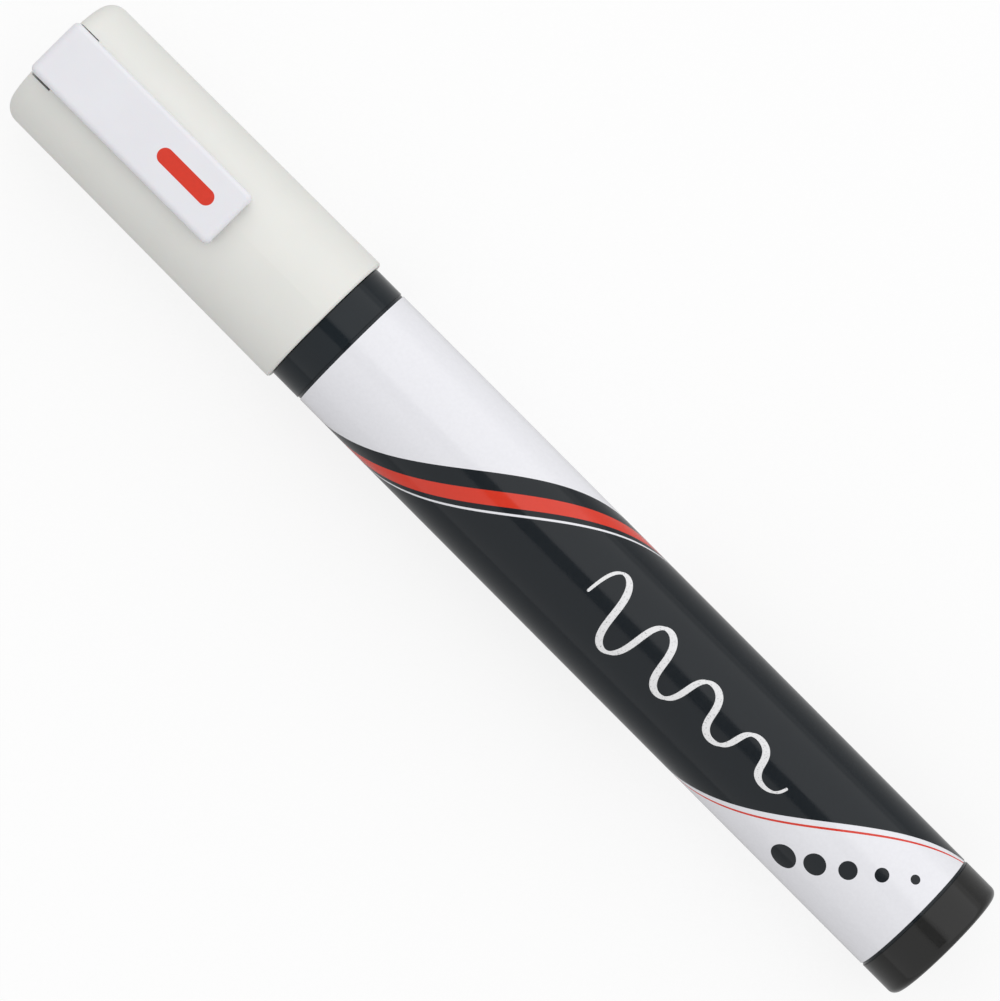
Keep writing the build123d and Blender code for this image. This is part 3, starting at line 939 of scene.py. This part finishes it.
@dataclass
class PumpValve:
    """The nib and the sprung valve behind it."""

    wire_radius: float = 0.25 * MM
    wire_sides: int = 12
    turns: int = 6
    steps_per_turn: int = 40
    closed_share: float = 0.11
    closed_pitch: float = 0.55 * MM
    travel: float = 1.5 * MM
    wire: Steel = SPRING_WIRE
    fibre: BondedFibre = NIB_FIBRE
    seal: SoftRubber = SEAL_RUBBER
    moulding: MouldedPlastic = NATURAL

    def __post_init__(self) -> None:
        """Reads the spring's place from its CAD node."""
        low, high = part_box("valve_spring")
        self.front = low.x
        self.back = high.x
        self.radius = (high.y - low.y) / 2 - self.wire_radius
        self.axis = (low.z + high.z) / 2
        self.steps = self.turns * self.steps_per_turn

    def advance(self, share: float) -> float:
        """Gives how far along the spring a share of its turns lies, with the end turns closed up.

        Args:
            share: the share of the turns, from the front.

        Returns:
            The distance along the axis from where the wire starts.
        """
        ends = min(share, self.closed_share) + max(share - 1 + self.closed_share, 0.0)
        opened = min(max((share - self.closed_share) / (1 - 2 * self.closed_share), 0.0), 1.0)
        closed_run = self.closed_pitch * self.turns
        open_run = self.back - self.front - 2 * self.wire_radius - closed_run * 2 * self.closed_share
        return closed_run * ends + open_run * opened

    def wire_points(self) -> list[Vector]:
        """Gives the points round the wire.

        Returns:
            The points, ring by ring from the front.
        """
        places: list[Vector] = []
        for step in range(self.steps + 1):
            share = step / self.steps
            turn = 2 * math.pi * self.turns * share
            out = Vector((0.0, math.cos(turn), math.sin(turn)))
            x = self.front + self.wire_radius + self.advance(share)
            middle = Vector((x, 0.0, self.axis)) + out * self.radius
            for side in range(self.wire_sides):
                spin = 2 * math.pi * side / self.wire_sides
                places.append(middle + (out * math.cos(spin) + ALONG * math.sin(spin)) * self.wire_radius)
        return places

    def wire_faces(self) -> list[list[int]]:
        """Gives the faces between the wire's points, with a flat one on each end.

        Returns:
            Each face's corners.
        """
        sides = self.wire_sides
        faces: list[list[int]] = []
        for ring in range(self.steps):
            for side in range(sides):
                here, beside = (ring * sides + corner % sides for corner in (side, side + 1))
                faces.append([here, here + sides, beside + sides, beside])
        faces.append(list(range(sides)))
        faces.append([self.steps * sides + side for side in range(sides)][::-1])
        return faces

    def spring(self) -> bpy.types.Object:
        """Builds the spring as one round wire that the valve squeezes.

        Returns:
            The spring.
        """
        mesh = bpy.data.meshes.new("valve_coil")
        mesh.from_pydata(self.wire_points(), [], self.wire_faces())
        for face in mesh.polygons:
            face.use_smooth = len(face.vertices) < self.wire_sides
        mesh.materials.append(self.wire.material())
        piece = new_piece("valve_coil", mesh, "valve_spring")
        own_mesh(piece)
        return piece

    def build(self) -> list[bpy.types.Object]:
        """Builds the spring and dresses the rest of the valve.

        Returns:
            The pieces.
        """
        natural = self.moulding.material()
        return [
            self.spring(),
            dress("nib", self.fibre.material()),
            dress("valve_seat", self.seal.material()),
            dress("valve_case", natural),
            dress("valve_rod", natural),
        ]


@dataclass
class Studio:
    """Plain pale floor, even sky, one large soft panel, and the camera under a sheet of the same paper."""

    image_width: float = 108.05 * MM
    distance: float = 700.0 * MM
    aim: Triple = (0.04 * MM, -0.28 * MM, 8.6 * MM)
    roll: float = 45.123
    lean: float = 1.8
    sensor: float = 36.0
    clip_near: float = 0.01
    clip_far: float = 20.0
    sky: float = 0.8
    seen_sky: float = 0.98
    panel_radiance: float = 0.49
    panel_near: Point = (0.16, 1.25)
    panel_far: Point = (1.35, 0.25)
    panel_length: float = 2.6
    floor_size: float = 6.0
    sheet_length: float = 0.6
    sheet_width: float = 0.48

    def camera(self) -> None:
        """Sets the camera over the marker, turned so that the marker runs down to the right."""
        lens = bpy.data.cameras.new("camera")
        lens.sensor_fit = "HORIZONTAL"
        lens.sensor_width = self.sensor
        lens.lens = self.sensor * self.distance / self.image_width
        lens.clip_start = self.clip_near
        lens.clip_end = self.clip_far
        eye = bpy.data.objects.new("camera", lens)
        bpy.context.scene.collection.objects.link(eye)
        tilt = Matrix.Rotation(math.radians(self.lean), 4, "X")
        turn = Matrix.Rotation(math.radians(self.roll), 4, "Z")
        back = Matrix.Translation((0.0, 0.0, self.distance))
        eye.matrix_world = Matrix.Translation(self.aim) @ tilt @ turn @ back
        bpy.context.scene.camera = eye

    def sky_light(self) -> None:
        """Lights the set evenly from all round, under a sky that the camera and gloss see nearly white."""
        graph = Graph(bpy.data.worlds.new("studio_sky"))
        seen = graph.combine("MAXIMUM", graph.seen(), graph.glossy())
        strength = graph.remap(seen, (0.0, 1.0), (self.sky, self.seen_sky))
        shade = graph.add("ShaderNodeBackground", {"Color": WHITE, "Strength": strength})
        graph.add("ShaderNodeOutputWorld", {"Surface": shade.outputs["Background"]})
        bpy.context.scene.world = graph.holder

    def panel(self) -> None:
        """Hangs the soft panel along the lit side."""
        near, far = (Vector((0.0, *end)) for end in (self.panel_near, self.panel_far))
        depth = (far - near).length
        lamp = bpy.data.lights.new("soft_panel", "AREA")
        lamp.shape = "RECTANGLE"
        lamp.size = self.panel_length
        lamp.size_y = depth
        lamp.energy = self.panel_radiance * math.pi * self.panel_length * depth
        across = (far - near).normalized()
        basis = Matrix((ALONG, across, ALONG.cross(across))).transposed().to_4x4()
        hung = bpy.data.objects.new("soft_panel", lamp)
        hung.matrix_world = Matrix.Translation((near + far) / 2) @ basis
        bpy.context.scene.collection.objects.link(hung)

    def paper(
        self, name: str, middle: Triple, size: Point, material: bpy.types.Material
    ) -> bpy.types.Object:
        """Lays a flat sheet of studio paper, which isn't part of the object.

        Args:
            name: the sheet's name.
            middle: its middle.
            size: its length along the marker and its width across it.
            material: the paper.

        Returns:
            The sheet.
        """
        mesh = bpy.data.meshes.new(name)
        corners = ((-1, -1), (1, -1), (1, 1), (-1, 1))
        mesh.from_pydata([(x * size[0] / 2, y * size[1] / 2, 0.0) for x, y in corners], [], [(0, 1, 2, 3)])
        mesh.materials.append(material)
        sheet = bpy.data.objects.new(name, mesh)
        sheet.location = middle
        bpy.context.scene.collection.objects.link(sheet)
        return sheet

    def build(self) -> list[bpy.types.Object]:
        """Sets up camera, lights and paper.

        Returns:
            The sheets of paper.
        """
        bpy.context.scene.view_settings.view_transform = "Standard"
        self.camera()
        self.sky_light()
        self.panel()
        material = StudioPaper().material()
        overhead = (0.0, self.panel_near[0] - self.sheet_width / 2, self.panel_near[1])
        return [
            self.paper("studio_floor", (0.0, 0.0, 0.0), (self.floor_size, self.floor_size), material),
            self.paper("studio_overhead", overhead, (self.sheet_length, self.sheet_width), material),
        ]


def main() -> None:
    """Builds the studio and each sub-assembly in order, and logs each piece's name."""
    logging.basicConfig(level=logging.INFO, format="%(name)s: %(message)s")
    for assembly in (Studio(), Cap(), Clip(), Tank(), Label(), PumpValve()):
        for piece in assembly.build():
            LOG.info("%s: %s", type(assembly).__name__, piece.name)


if __name__ == "__main__":
    main()
